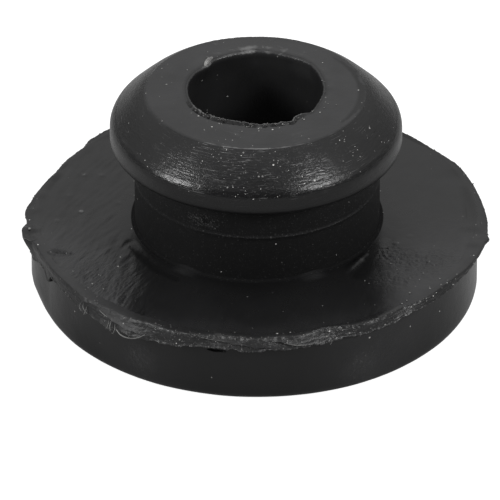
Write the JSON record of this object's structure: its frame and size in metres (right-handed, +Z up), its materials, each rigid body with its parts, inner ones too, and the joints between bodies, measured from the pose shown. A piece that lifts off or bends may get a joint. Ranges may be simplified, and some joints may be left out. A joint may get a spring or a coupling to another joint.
{
  "type": "rubber grommet",
  "caption": "Moulded black rubber panel grommet: thick round flange, short neck, mushroom head and a plain through bore.",
  "frame": {"origin": "centre of the flange's underside", "axes": "+Z up along the grommet's axis, from the flange to the head; +Y the way the bore sits off centre"},
  "size_m": [0.0228, 0.0228, 0.011],
  "materials": {
    "moulded_rubber": "satin black rubber with a rough, torn trimming lip"
  },
  "bodies": {
    "root": {"grommet": "moulded_rubber"}
  },
  "joints": []
}
